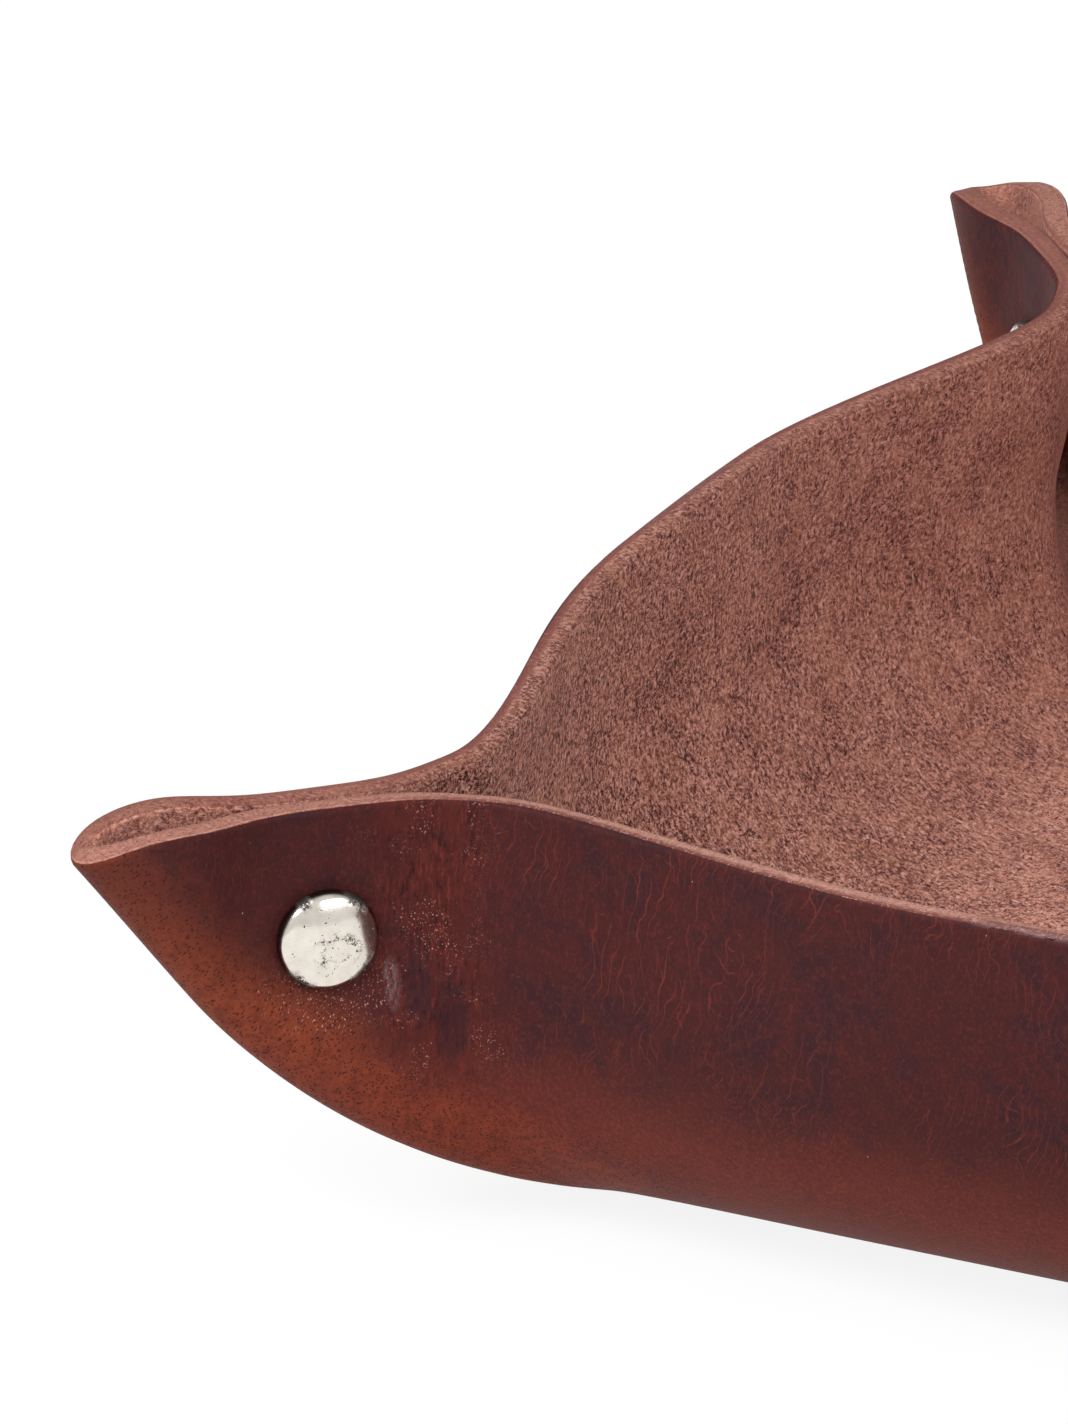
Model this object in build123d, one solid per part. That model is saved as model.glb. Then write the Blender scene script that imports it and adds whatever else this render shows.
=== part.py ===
"""Leather valet tray: one sheet with four pinched corners, each held by a double-cap rivet.

Frame: origin at the centre of the underside of the floor, +Z up, the front wall at -Y.
All sizes are millimetres.
"""
import math
import os

from build123d import *

# Leather sheet
LEATHER = 2.8            # thickness of the hide
FLOOR_HALF = 53.0        # centre of the floor to where a wall starts to bend up
BEND_R = 28.9            # middle of the hide in the bend between floor and wall
WALL_LEAN = 0.0          # degrees that the middle of a wall leans outward
RIM_Z = 43.1             # middle of the rim above the middle of the floor, at the pinch
RIM_RISE = 1.5           # how much higher the rim is at the middle of a wall
RISE_SHARE = 0.5         # share of the way to the tip over which that rise fades out
TIP_DROP = 2.5           # how much lower the rim is at the tip of a corner
DROP_FROM = 0.85         # share of the way to the tip at which that drop starts
BOW = 11.2               # how far the rim comes in from the middle of a wall to the pinch
BOW_LENGTH = 53.2        # length of wall over which it does so
BOW_END = 30.2           # diagonal distance where the bow ends and the corner starts

# Folded corner, measured along the diagonal from the start of the bends
FOLD_R = 64.8            # radius of the fold line where it leaves the floor
FOLD_ANGLE = 52.6        # degrees of its straight upper part
NOSE_R = 2.4             # middle of the hide round the fold
EAR_OPEN = 2.6           # how far each layer stands off again beside the rivet
LAYER_GAP = 0.30         # between the two layers where they are riveted
PINCH_HALF = 12.0        # half length of the pinched band round the rivet
PINCH_LEAN = 1.5         # how far that band leans inward from the rivet up to the rim
PINCH_BELOW = 8.5        # depth of the band under the rivet
WEB_R = 2.2              # softness of the turn from wall to corner
WEB_REACH = 14.0         # distance over which the two blend
CORNER_REACH = 17.0      # distance out over which the corner takes shape

# Double-cap rivet
RIVET_S = 39.7           # along the diagonal
RIVET_Z = 29.9           # above the middle of the floor
CAP_D = 10.0
CAP_RISE = 2.45          # top of the dome above the leather
CAP_SHEET = 0.40         # sheet metal of the cap
CAP_ROLL = 1.2           # outer radius of the shoulder
CAP_BAND = 0.5           # height at which the shoulder starts
CAP_HEM = 1.1            # width of the hem under the rim
POST_D = 3.0
POST_WALL = 0.40
PLATE = 0.35             # sheet metal of the pieces inside the caps
PLATE_EDGE = 0.45        # between the edge of such a piece and the inside of its cap
POST_HEAD = 4.0          # width of the upset end of the post
SEAT_PRESS = 0.20        # how deep each cap presses into the leather
SLIP = 0.05              # clearance between pressed parts
SEAT_D = CAP_D + 0.5
HOLE_D = POST_D + 2 * SLIP + 0.3
SEAT_CUT = 4.0           # how far out the hide is cleared over each seat
MEET = 0.003             # how closely the curves of a face have to meet

HALF_T = LEATHER / 2
ROOT2 = math.sqrt(2)
SEAT = LAYER_GAP / 2 + LEATHER - SEAT_PRESS      # diagonal plane to the face under a cap


def arc_then_line(z, radius, angle):
    """Distance out at height z of a profile that bends up and then runs straight."""
    a = math.radians(angle)
    z_end = radius * (1 - math.cos(a))
    if z <= z_end:
        return math.sqrt(max(radius * radius - (radius - z) ** 2, 0.0))
    return radius * math.sin(a) + (z - z_end) / math.tan(a)


def wall_out(z):
    return arc_then_line(z, BEND_R, 90 - WALL_LEAN)


def fold_out(z):
    return arc_then_line(z, FOLD_R, FOLD_ANGLE)


def half_width(s, z):
    """Middle of the hide beside the diagonal plane, at s along the diagonal and height z."""
    small = math.tanh(fold_out(z) / CORNER_REACH)
    low = max(RIVET_Z - z, 0.0) / PINCH_BELOW
    high = (max(z - RIVET_Z, 0.0) / (RIM_Z - RIVET_Z)) ** 2
    away = ((s - RIVET_S + PINCH_LEAN * high) / PINCH_HALF) ** 2 + low ** 2
    ear = small * (HALF_T + LAYER_GAP / 2 + EAR_OPEN * (1 - math.exp(-away * away)))
    along = min(max((BOW_END - s) * ROOT2 / BOW_LENGTH, 0.0), 1.0)
    pull = BOW * (0.5 + 0.5 * math.cos(math.pi * along)) * z / RIM_Z
    wall = ROOT2 * (wall_out(z) - pull) - s
    soft = WEB_R * small * math.exp(-((ear - wall) / WEB_REACH) ** 2)
    both = (ear + wall) / 2 + math.sqrt((ear - wall) ** 2 / 4 + soft * soft)
    left = max(fold_out(z) - s, 0.0)
    if left <= 0.0 or ear <= 0.0:
        return 0.0 if z > 0 else both
    return both * math.sqrt(1 - math.exp(-2 * NOSE_R * small * left / (ear * ear)))


def rim_height(k):
    rise = RIM_RISE * (0.5 + 0.5 * math.cos(math.pi * min(k / RISE_SHARE, 1.0)))
    return RIM_Z + rise - TIP_DROP * (max(k - DROP_FROM, 0.0) / (1 - DROP_FROM)) ** 2


def middle(u, v):
    """Middle of the hide on one eighth of the tray, from the corner where the bends cross.

    u runs from the middle of a wall (0) to the fold (1), v from the floor (0) to the rim (1).
    """
    k = 1 - (1 - u) ** 2
    z = rim_height(k) * v * v
    start = (wall_out(z) - FLOOR_HALF) / ROOT2
    s = start + (fold_out(z) - start) * k
    if u <= 0:
        n = ROOT2 * wall_out(z) - s
    elif u < 1:
        n = half_width(s, z)
    else:
        n = 0.0
    return Vector((n - s) / ROOT2, -(s + n) / ROOT2, z)


def skin(u, v, side):
    """The outer face (side 1) or inner face (side -1) of the hide at u, v, in the tray's frame."""
    if v <= 0:
        normal = Vector(0, 0, -1)
    elif u <= 0:
        d = middle(0, min(v + 0.001, 1)) - middle(0, v - 0.001)
        normal = Vector(0, -d.Z, d.Y).normalized()
    elif u >= 1:
        d = middle(1, min(v + 0.001, 1)) - middle(1, v - 0.001)
        out = math.hypot(d.X, d.Y)
        normal = Vector(-d.Z / ROOT2, -d.Z / ROOT2, -out).normalized()
    else:
        du = middle(min(u + 0.002, 1), v) - middle(u - 0.002, v)
        dv = middle(u, min(v + 0.001, 1)) - middle(u, v - 0.001)
        normal = dv.cross(du).normalized()
    base = middle(u, v) + Vector(-FLOOR_HALF, -FLOOR_HALF, HALF_T)
    return base + normal * (HALF_T * side)


N_U = 24                 # sections between the middle of a wall and the fold
N_V = 16                 # points from the floor to the rim


def edge_up(u, side):
    """Curve on one face of the hide from the floor to the rim."""
    points = [skin(u, j / N_V, side) for j in range(N_V + 1)]
    first = skin(u, 0.0005, side) - points[0]
    last = points[-1] - skin(u, 0.999, side)
    start = Vector(first.X, first.Y, 0).normalized() * first.length * 2000
    steps = [j / N_V for j in range(N_V + 1)]
    return Edge.make_spline(points, tangents=[start, last * 1000], parameters=steps, scale=False)


def edge_across(v, side):
    """Curve on one face of the hide from the middle of a wall to the fold."""
    points = [skin(i / N_U, v, side) for i in range(N_U + 1)]
    if v == 0:
        return Edge.make_line(points[0], points[-1])
    first = skin(0.001, v, side) - points[0]
    last = points[-1] - skin(0.999, v, side)
    start = Vector(first.X, 0, 0) * 1000
    flat = (last.X - last.Y) / 2
    end = Vector(flat, -flat, 0) * 1000
    steps = [i / N_U for i in range(N_U + 1)]
    return Edge.make_spline(points, tangents=[start, end], parameters=steps, scale=False)


GUIDES = (0, 3, 6, 9, 12, 14, 16)


def skin_face(side):
    profiles = [edge_up(i / N_U, side) for i in range(N_U + 1)]
    guides = [edge_across(j / N_V, side) for j in GUIDES]
    return Face.make_gordon_surface(profiles, guides, tolerance=MEET)


def mirrored(face):
    """The eight copies of a face of one eighth of the tray."""
    copies = [face, face.mirror(Plane((0, 0, 0), z_dir=(1, -1, 0)))]
    copies += [f.mirror(Plane.YZ) for f in copies]
    return copies + [f.mirror(Plane.XZ) for f in copies]


def rim_edge(face):
    return max(face.edges(), key=lambda e: min((e @ 0).Z, (e @ 1).Z))


outer = skin_face(1)
inner = skin_face(-1)
rim = Face.make_surface_from_curves(rim_edge(outer), rim_edge(inner))
floor = [Face.make_rect(2 * FLOOR_HALF, 2 * FLOOR_HALF, Plane((0, 0, z))) for z in (0, LEATHER)]
sheet = Solid(Shell(mirrored(outer) + mirrored(inner) + mirrored(rim) + floor))


seat = Cylinder(SEAT_D / 2, SEAT_CUT, align=(Align.CENTER, Align.CENTER, Align.MIN))
bore = Cylinder(HOLE_D / 2, 4 * LEATHER)


def at_corner(shape, x_side, y_side, out, offset=0.0):
    """A shape made at the origin along +Z, put at one corner's rivet.

    out = 1 points it to the front or back of the tray, -1 to the side of the tray. The offset
    moves it away from the middle of the fold.
    """
    reach = FLOOR_HALF + RIVET_S / ROOT2
    axis = Vector(-x_side, y_side, 0).normalized() * out
    spot = Vector(x_side * reach, y_side * reach, RIVET_Z + HALF_T) + axis * offset
    return Plane(spot, x_dir=(0, 0, 1), z_dir=axis).location * shape


for x_side in (-1, 1):
    for y_side in (-1, 1):
        sheet = sheet - at_corner(bore, x_side, y_side, 1)
        for out in (1, -1):
            sheet = sheet - at_corner(seat, x_side, y_side, out, SEAT)


def ring_solid(*edges):
    """Solid of revolution about Z from the edges of its half section, drawn as (r, z)."""
    return revolve(Plane.XZ * make_face(edges), Axis.Z)


def ring_polygon(*points):
    return revolve(Plane.XZ * make_face(Polyline(*points, close=True)), Axis.Z)


# Cap shell: shallow dome, rounded shoulder and a hem turned in under it
rim_r = CAP_D / 2 - CAP_ROLL
drop = CAP_BAND - CAP_RISE
dome_r = (CAP_ROLL ** 2 - rim_r ** 2 - drop ** 2) / (2 * (drop + CAP_ROLL))
tilt = math.atan2(rim_r, dome_r + drop)
inside_r = CAP_D / 2 - CAP_SHEET
hem_r = inside_r - CAP_HEM


def on_roll(angle):
    return (rim_r + CAP_ROLL * math.cos(angle), CAP_BAND + CAP_ROLL * math.sin(angle))


shoulder = on_roll(math.pi / 2 - tilt)
dome_mid = (dome_r * math.sin(tilt / 2), CAP_RISE - dome_r + dome_r * math.cos(tilt / 2))
cap_shell = ring_solid(
    Polyline((hem_r, 0), (CAP_D / 2 - CAP_SHEET, 0), (CAP_D / 2, CAP_BAND)),
    ThreePointArc((CAP_D / 2, CAP_BAND), on_roll(math.pi / 4 - tilt / 2), shoulder),
    ThreePointArc(shoulder, dome_mid, (0, CAP_RISE)),
    Polyline(
        (0, CAP_RISE), (0, CAP_RISE - CAP_SHEET), (rim_r, shoulder[1] - CAP_SHEET),
        (inside_r, CAP_SHEET), (hem_r, CAP_SHEET), (hem_r, 0),
    ),
)

# Plate inside each cap: rests on the hem, dished down to the leather round the post
plate_z = CAP_SHEET + SLIP
plate_r = inside_r - PLATE_EDGE
dish_r = hem_r - 0.3
eye_r = POST_D / 2 + SLIP
eye_top = 1.1
socket = ring_polygon(
    (plate_r, plate_z), (plate_r, plate_z + PLATE), (dish_r, PLATE), (eye_r + PLATE, PLATE),
    (eye_r + PLATE, eye_top), (eye_r, eye_top), (eye_r, 0), (dish_r, 0), (hem_r, plate_z),
)

# Post: the same plate in the cap on the other side, its tube upset over the socket's collar
post_r = POST_D / 2
bore_r = post_r - POST_WALL
tip = -(2 * SEAT + eye_top + SLIP)
post = ring_polygon(
    (plate_r, plate_z), (plate_r, plate_z + PLATE), (dish_r, PLATE), (bore_r, PLATE),
    (bore_r, tip), (0, tip), (0, tip - POST_WALL), (POST_HEAD / 2, tip - POST_WALL),
    (POST_HEAD / 2, tip), (post_r, tip), (post_r, 0), (dish_r, 0), (hem_r, plate_z),
)

os.makedirs("parts", exist_ok=True)
export_step(sheet, "parts/leather_sheet.step")
for corner, x_side, y_side in (
    ("front_left", -1, -1), ("front_right", 1, -1), ("back_left", -1, 1), ("back_right", 1, 1),
):
    for piece, shape, out in (
        ("cap", cap_shell, 1), ("socket", socket, 1), ("post", post, -1), ("base_cap", cap_shell, -1),
    ):
        made = at_corner(shape, x_side, y_side, out, SEAT)
        export_step(made, f"parts/{corner}_{piece}.step")
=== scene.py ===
# %% [markdown]
# # Leather valet tray
#
# The tray is one square sheet of thick hide. Its four sides are turned up, and at each corner
# the spare leather is pinched outward into an ear that a double-cap rivet holds together. The
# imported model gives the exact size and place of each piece, so we load that first and model
# the leather and the metal around it. Lengths are written in millimetres and turned into
# Blender's metres where a mesh is made.

# %% The frame
import math

import bpy
import numpy as np
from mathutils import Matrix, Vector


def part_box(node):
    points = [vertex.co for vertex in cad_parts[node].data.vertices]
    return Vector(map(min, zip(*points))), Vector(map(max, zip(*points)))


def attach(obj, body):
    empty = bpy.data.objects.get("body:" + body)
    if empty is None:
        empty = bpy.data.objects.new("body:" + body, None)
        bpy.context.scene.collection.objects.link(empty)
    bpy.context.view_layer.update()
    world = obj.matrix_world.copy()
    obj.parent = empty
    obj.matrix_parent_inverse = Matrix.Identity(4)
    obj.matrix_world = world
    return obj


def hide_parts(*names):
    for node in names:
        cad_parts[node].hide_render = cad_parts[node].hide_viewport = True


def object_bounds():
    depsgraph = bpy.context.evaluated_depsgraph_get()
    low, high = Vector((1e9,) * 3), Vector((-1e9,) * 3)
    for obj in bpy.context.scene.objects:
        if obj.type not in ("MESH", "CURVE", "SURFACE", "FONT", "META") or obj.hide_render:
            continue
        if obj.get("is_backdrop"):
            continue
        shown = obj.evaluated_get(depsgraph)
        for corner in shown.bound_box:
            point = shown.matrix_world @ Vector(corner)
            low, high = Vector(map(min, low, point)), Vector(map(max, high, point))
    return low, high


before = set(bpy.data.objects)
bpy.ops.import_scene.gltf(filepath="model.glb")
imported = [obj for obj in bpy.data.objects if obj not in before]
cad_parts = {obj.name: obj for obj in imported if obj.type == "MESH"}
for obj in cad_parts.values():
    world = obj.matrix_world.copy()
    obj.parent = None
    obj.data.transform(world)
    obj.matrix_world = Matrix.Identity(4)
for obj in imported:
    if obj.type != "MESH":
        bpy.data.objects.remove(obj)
cad_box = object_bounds()
MM = 0.001
rng = np.random.default_rng(7)
print("box of the packed tray", cad_box)

# %% [markdown]
# ## The camera
#
# The photograph looks down over the front left corner with a long lens, from the right of the
# front wall. Two angles say where the camera stands. The scale in pixels per millimetre beside the
# rivet and the pixel at which one known corner of the floor lies then give the aim and the lens.

# %% Camera
AZIMUTH, ELEVATION = math.radians(27.00), math.radians(22.46)
IMAGE_W, IMAGE_H = 1068, 1424
PIXELS_PER_MM = 10.508
FLOOR_CORNER = np.array([-53.0, -53.0, 0.0])
CORNER_PIXEL = (714.7, 1180.2)
SCALE_PLACE = FLOOR_CORNER + np.array([-14.0, -14.0, 25.0])
DISTANCE = 2057.0
SENSOR = 36.0

cos_turn, sin_turn = math.cos(AZIMUTH), math.sin(AZIMUTH)
cos_rise, sin_rise = math.cos(ELEVATION), math.sin(ELEVATION)
right = np.array([cos_turn, sin_turn, 0])
up = np.array([-sin_turn * sin_rise, cos_turn * sin_rise, cos_rise])
back = np.array([sin_turn * cos_rise, -cos_turn * cos_rise, sin_rise])
aim = FLOOR_CORNER + right * (IMAGE_W / 2 - CORNER_PIXEL[0]) / PIXELS_PER_MM
aim = aim + up * (CORNER_PIXEL[1] - IMAGE_H / 2) / PIXELS_PER_MM
eye = (aim + back * ((SCALE_PLACE - FLOOR_CORNER) @ back + DISTANCE)) * MM

camera_data = bpy.data.cameras.new("camera")
camera_data.sensor_fit = "HORIZONTAL"
camera_data.sensor_width = SENSOR
camera_data.lens = SENSOR * DISTANCE * PIXELS_PER_MM / IMAGE_W
camera_data.clip_end = 20
camera = bpy.data.objects.new("camera", camera_data)
bpy.context.collection.objects.link(camera)
camera.location = eye
camera.rotation_euler = (math.pi / 2 - ELEVATION, 0, AZIMUTH)
bpy.context.scene.camera = camera
print("lens", round(camera_data.lens), "mm, eye at", eye.round(3))

# %% [markdown]
# ## Sizes of the folded hide
#
# These are the sizes of the model that was packed. The bend between floor and wall, the fold
# that climbs along the diagonal and the pinch at the rivet all follow from them.

# %% Sizes
LEATHER = 2.8
FLOOR_HALF = 53.0
BEND_R, WALL_LEAN = 28.9, 0.0
RIM_Z, RIM_RISE, RISE_SHARE = 43.1, 1.5, 0.5
TIP_DROP, DROP_FROM = 2.5, 0.85
BOW, BOW_LENGTH, BOW_END = 11.2, 53.2, 30.2
FOLD_R, FOLD_ANGLE, NOSE_R = 64.8, 52.6, 2.4
EAR_OPEN, LAYER_GAP = 2.6, 0.30
PINCH_HALF, PINCH_LEAN, PINCH_BELOW = 12.0, 1.5, 8.5
WEB_R, WEB_REACH, CORNER_REACH = 2.2, 14.0, 17.0
RIVET_S, RIVET_Z = 39.7, 29.9
CAP_R, CAP_RISE, CAP_ROLL, CAP_BAND = 5.0, 2.45, 1.2, 0.5
SEAT = 2.75
HALF_T = LEATHER / 2
ROOT2 = math.sqrt(2)
print("floor", 2 * FLOOR_HALF, "mm square,", LEATHER, "mm thick, rivets", RIVET_Z + HALF_T, "mm up")

# %% [markdown]
# ## How the hide folds
#
# Thick leather can't be pushed into this shape point by point and stay smooth, so we write the
# fold as a formula. A level cut through one half of a corner is a single curve: it runs along
# the wall, turns into the ear, and closes round the fold. `half_width` says how far that curve
# stands off the diagonal plane. `middle` then gives the middle of the hide for a place `u`, from
# 0 halfway along a wall to 1 on the fold, and `v`, from 0 at the floor to 1 at the rim.

# %% The fold as a formula
def smooth(edge0, edge1, x):
    """0 below edge0, 1 above edge1, and a soft step between."""
    t = np.clip((x - edge0) / (edge1 - edge0), 0, 1)
    return t * t * (3 - 2 * t)


def arc_then_line(z, radius, angle):
    """How far out a bend is at height z, when it goes on straight after this many degrees."""
    a = math.radians(angle)
    z_end = radius * (1 - math.cos(a))
    arc = np.sqrt(np.maximum(radius ** 2 - (radius - np.minimum(z, z_end)) ** 2, 0))
    return np.where(z <= z_end, arc, radius * math.sin(a) + (z - z_end) / math.tan(a))


def wall_out(z):
    return arc_then_line(z, BEND_R, 90 - WALL_LEAN)


def fold_out(z):
    return arc_then_line(z, FOLD_R, FOLD_ANGLE)


def half_width(s, z):
    """How far off the diagonal plane the hide is, s out along the diagonal and z up."""
    small = np.tanh(fold_out(z) / CORNER_REACH)
    low = np.maximum(RIVET_Z - z, 0) / PINCH_BELOW
    high = (np.maximum(z - RIVET_Z, 0) / (RIM_Z - RIVET_Z)) ** 2
    away = ((s - RIVET_S + PINCH_LEAN * high) / PINCH_HALF) ** 2 + low ** 2
    ear = small * (HALF_T + LAYER_GAP / 2 + EAR_OPEN * (1 - np.exp(-away * away)))
    along = np.clip((BOW_END - s) * ROOT2 / BOW_LENGTH, 0, 1)
    pull = BOW * (0.5 + 0.5 * np.cos(math.pi * along)) * z / RIM_Z
    wall = ROOT2 * (wall_out(z) - pull) - s
    soft = WEB_R * small * np.exp(-((ear - wall) / WEB_REACH) ** 2)
    both = (ear + wall) / 2 + np.sqrt((ear - wall) ** 2 / 4 + soft ** 2)
    left = np.maximum(fold_out(z) - s, 0)
    thin = np.maximum(ear, 1e-9)
    close = np.sqrt(1 - np.exp(-2 * NOSE_R * small * left / thin ** 2))
    return np.where(z > 0, both * close, both)


def rim_height(k):
    """Height of the rim, where k goes from 0 on the wall to 1 on the fold."""
    rise = RIM_RISE * (0.5 + 0.5 * np.cos(math.pi * np.minimum(k / RISE_SHARE, 1)))
    return RIM_Z + rise - TIP_DROP * (np.maximum(k - DROP_FROM, 0) / (1 - DROP_FROM)) ** 2


def middle(u, v):
    """Middle of one eighth of the hide, as arrays of x, y and z from the floor's corner."""
    k = 1 - (1 - u) ** 2
    z = rim_height(k) * v * v
    start = (wall_out(z) - FLOOR_HALF) / ROOT2
    s = start + (fold_out(z) - start) * k
    n = np.where(u >= 1, 0, half_width(s, z))
    n = np.where(u <= 0, ROOT2 * wall_out(z) - s, n)
    return np.stack([(n - s) / ROOT2, -(s + n) / ROOT2, z + 0 * s], axis=-1)


print("at a rivet the middle of each layer stands", round(float(half_width(RIVET_S, RIVET_Z)), 2),
      "mm off the diagonal")

# %% [markdown]
# ## A flat square with the right lines on it
#
# The real tray starts as a flat square of hide, so ours starts as a flat grid too. The lines
# of the grid are placed with care: few over the floor, which stays flat, and many over the
# sides, which bend. `folded` then says where each crossing of two lines ends up. Ring after
# ring, it measures the curve of the formula and sets the crossings at the same lengths along
# it that they had on the flat hide, so that the leather isn't stretched.

# %% Where each crossing goes
FLOOR_STEPS, WALL_STEPS = 18, 78
WALL_FLAT = 61.1
FINE = 1600
STEPS = FLOOR_STEPS + WALL_STEPS
flat_lines = np.concatenate([
    np.linspace(0, FLOOR_HALF, FLOOR_STEPS + 1),
    FLOOR_HALF + np.linspace(0, WALL_FLAT, WALL_STEPS + 1)[1:],
])


def lengths(points):
    steps = np.linalg.norm(np.diff(points, axis=0), axis=1)
    return np.concatenate([[0], np.cumsum(steps)])


fine = np.linspace(0, 1, FINE)
wall_climb = lengths(middle(np.zeros(FINE), fine))
folded = np.zeros((STEPS + 1, STEPS + 1, 3))
for row in range(STEPS + 1):
    along = flat_lines[:row + 1]
    if row <= FLOOR_STEPS:
        folded[row, :row + 1] = np.stack([along, 0 * along + flat_lines[row], 0 * along], axis=1)
        continue
    climb = (flat_lines[row] - FLOOR_HALF) / WALL_FLAT * wall_climb[-1]
    level = np.interp(climb, wall_climb, fine)
    ring = middle(1 - (1 - fine) ** 1.5, np.full(FINE, level))
    ring_length = lengths(ring)
    share = along / flat_lines[row] * ring_length[-1]
    for axis in range(3):
        folded[row, :row + 1, axis] = np.interp(share, ring_length, ring[:, axis])
    folded[row, :row + 1, :2] = FLOOR_HALF - folded[row, :row + 1, :2]
folded[:, :, 2] += HALF_T
print("hide from bend to rim", round(float(wall_climb[-1]), 1), "mm; tip of an ear at",
      folded[STEPS, STEPS].round(1))

# %% [markdown]
# ## Folding the hide
#
# A grid primitive has its crossings at even steps from -1 to 1, so each vertex tells its own
# line numbers. We move it to its folded place and write its flat place into the UV map. The
# small squares on the diagonals lie across the fold, so each is cut in two along it.

# %% Fold the grid
import bmesh


def only(piece):
    """Leave edit mode, select this piece alone and make it the active one."""
    if bpy.context.object and bpy.context.object.mode != "OBJECT":
        bpy.ops.object.mode_set(mode="OBJECT")
    bpy.ops.object.select_all(action="DESELECT")
    piece.select_set(True)
    bpy.context.view_layer.objects.active = piece


def read_places(mesh, what="co"):
    values = np.empty(len(mesh.vertices) * 3)
    mesh.vertices.foreach_get(what, values)
    return values.reshape(-1, 3)


def loop_vertices(mesh):
    index = np.empty(len(mesh.loops), int)
    mesh.loops.foreach_get("vertex_index", index)
    return index


def write_places(mesh, places):
    mesh.vertices.foreach_set("co", places.ravel())
    mesh.update()


bpy.ops.object.select_all(action="DESELECT")
bpy.ops.mesh.primitive_grid_add(x_subdivisions=2 * STEPS, y_subdivisions=2 * STEPS, size=2)
hide = bpy.context.object
hide.name = hide.data.name = "folded_hide"
start = read_places(hide.data)
number = np.rint(start[:, :2] * STEPS).astype(int)
ring_no, place_no = np.abs(number).max(axis=1), np.abs(number).min(axis=1)
place = folded[ring_no, place_no].copy()
sideways = np.abs(number[:, 0]) > np.abs(number[:, 1])
place[sideways] = place[sideways][:, [1, 0, 2]]
place[:, :2] *= np.sign(number)
flat_place = np.sign(number) * flat_lines[np.abs(number)]
flat_map = hide.data.uv_layers[0]
flat_map.name = "flat"
flat_uv = (flat_place[loop_vertices(hide.data)] * MM).astype(np.float32)
flat_map.uv.foreach_set("vector", flat_uv.ravel())
write_places(hide.data, place * MM)

sheet_mesh = bmesh.new()
sheet_mesh.from_mesh(hide.data)
sheet_mesh.verts.ensure_lookup_table()
on_fold = (ring_no == place_no) & (ring_no >= FLOOR_STEPS)
for face in list(sheet_mesh.faces):
    ends = [vert for vert in face.verts if on_fold[vert.index]]
    if len(ends) == 2:
        bmesh.utils.face_split(face, ends[0], ends[1])
sheet_mesh.to_mesh(hide.data)
sheet_mesh.free()
print("folded sheet:", len(hide.data.vertices), "vertices,", len(hide.data.polygons), "faces")

# %% [markdown]
# ## Thickness and the cut edge
#
# Solidify gives the sheet its 2.8 mm and sorts the faces by itself: the upper side is the raw
# flesh, the new lower side is the finished grain, and the rim between them is the cut edge.
# A small bevel takes the sharpness off both borders of the cut. A second UV map called
# `depth` runs from 0 on the flesh to 1 on the grain. The bevel carries it round the edge, so
# that the finish of the cut can change through the thickness.

# %% Thickness
FINISHES = ("suede flesh", "waxed grain", "cut edge")
GRAIN, CUT = FINISHES.index("waxed grain"), FINISHES.index("cut edge")
EDGE_BEVEL = 0.55
for slot_name in FINISHES:
    hide.data.materials.append(bpy.data.materials.new(slot_name))
only(hide)
thicken = hide.modifiers.new("thickness", "SOLIDIFY")
thicken.thickness = LEATHER * MM
thicken.offset = 0
thicken.material_offset = GRAIN
thicken.material_offset_rim = CUT
bpy.ops.object.modifier_apply(modifier=thicken.name)


def face_materials(mesh):
    index = np.empty(len(mesh.polygons), int)
    mesh.polygons.foreach_get("material_index", index)
    return index


half = len(hide.data.vertices) // 2
depth_map = hide.data.uv_layers.new(name="depth")
depth_of = (loop_vertices(hide.data) >= half).astype(np.float32)
depth_map.uv.foreach_set("vector", np.repeat(depth_of, 2))
bpy.ops.object.mode_set(mode="EDIT")
bpy.ops.mesh.select_mode(type="FACE")
bpy.ops.mesh.select_all(action="DESELECT")
bpy.ops.object.mode_set(mode="OBJECT")
hide.data.polygons.foreach_set("select", face_materials(hide.data) == CUT)
bpy.ops.object.mode_set(mode="EDIT")
bpy.ops.mesh.region_to_loop()
bpy.ops.mesh.bevel(offset=EDGE_BEVEL * MM, segments=3, profile=0.5, affect="EDGES")
bpy.ops.object.mode_set(mode="OBJECT")
print("hide with thickness:", len(hide.data.polygons), "faces, underside at z",
      read_places(hide.data)[:, 2].min().round(5))

# %% [markdown]
# ## What the hand leaves in the leather
#
# The formula is too perfect. The rivet is pressed into the ear and gathers the hide round it,
# and the walls are never quite even. We move the vertices of the finished mesh a little along
# their normals for this, with distances measured from the nearest rivet. Beside each rivet
# three dents run down the crease, where the ear was bent by hand: two in and one out.

# %% Press and gather
PRESS, RING_SWELL, GATHER = 0.22, 0.10, 0.07
DENTS = ((32.8, 27.0, 1.2, 4.0, 0.32), (28.0, 24.0, 1.4, 3.6, 0.30), (30.4, 25.0, 1.1, 3.5, -0.22))
WAVES, WAVE_HEIGHT, SHORT_WAVE, LONG_WAVE = 7, 0.06, 22, 46
ANY_TURN = 6.28
places = read_places(hide.data) / MM
normals = read_places(hide.data, what="normal")
loop_depth = np.empty(len(hide.data.loops) * 2, np.float32)
hide.data.uv_layers["depth"].uv.foreach_get("vector", loop_depth)
vertex_depth = np.zeros(len(places))
vertex_depth[loop_vertices(hide.data)] = loop_depth[::2]
grain_side = smooth(0.5, 1.0, vertex_depth)


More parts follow.
